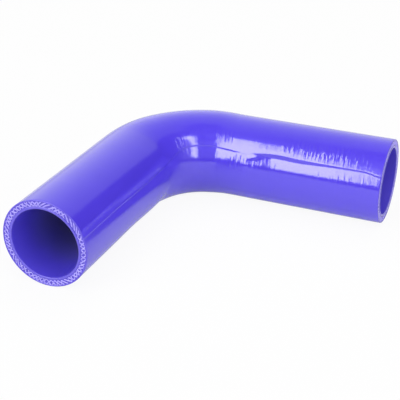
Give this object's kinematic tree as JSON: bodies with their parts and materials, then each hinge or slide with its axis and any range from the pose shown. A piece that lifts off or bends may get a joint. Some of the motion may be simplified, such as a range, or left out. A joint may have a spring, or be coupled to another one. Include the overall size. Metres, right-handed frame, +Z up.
{
  "type": "radiator hose",
  "caption": "Moulded right-angle coolant hose of reinforced silicone rubber with two straight legs and square cut ends.",
  "frame": {"origin": "bottom centre of the box around the hose, on the surface that the hose lies on", "axes": "+Z up, across both level legs; the near leg runs along Y and its cut end faces -Y; the far leg runs along X and its cut end faces +X"},
  "size_m": [0.1642, 0.1642, 0.0492],
  "materials": {
    "silicone_rubber": "gloss",
    "ply_thread": "matte"
  },
  "bodies": {
    "root": {"hose": "silicone_rubber"}
  },
  "joints": []
}
